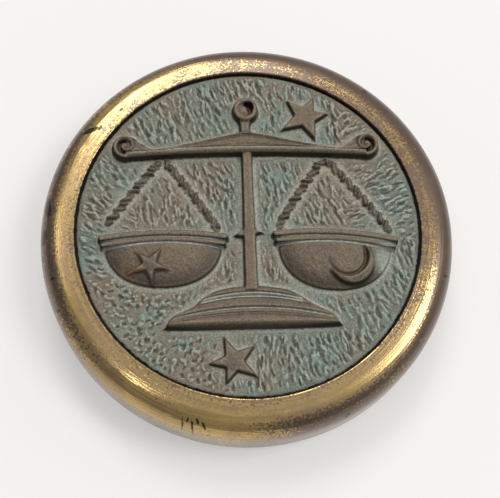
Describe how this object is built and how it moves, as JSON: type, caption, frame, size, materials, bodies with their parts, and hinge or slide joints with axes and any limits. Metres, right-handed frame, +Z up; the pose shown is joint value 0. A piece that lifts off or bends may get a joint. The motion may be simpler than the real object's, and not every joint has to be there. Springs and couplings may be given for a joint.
{
  "type": "medallion paperweight",
  "caption": "Round brass-rimmed desk paperweight with an inset bronze relief plaque of a balance, crescent and stars, weighted inside and felted underneath",
  "frame": {"origin": "centre of the underside of the felt pad, which is the face it stands on", "axes": "+Z up out of the relief, +Y towards the top of the relief (the finial above the beam), +X to the viewer's right when reading the relief"},
  "size_m": [0.1, 0.1, 0.019],
  "materials": {
    "rim_brass": "polished, tarnished in patches",
    "plaque_bronze": "cast, dark brown with green and grey patina in the recesses",
    "bedding_mastic": "matt black",
    "packing_cork": "pressed cork",
    "ballast_iron": "rough cast",
    "base_steel": "rolled sheet",
    "screw_steel": "zinc plated",
    "pad_felt": "pressed wool felt"
  },
  "bodies": {
    "root": {"rim_ring": "rim_brass", "relief_plaque": "plaque_bronze", "seam_bedding": "bedding_mastic", "packing_disc": "packing_cork", "ballast_disc": "ballast_iron", "base_plate": "base_steel", "base_screw_1": "screw_steel", "base_screw_2": "screw_steel", "base_screw_3": "screw_steel", "felt_pad": "pad_felt"}
  },
  "joints": []
}
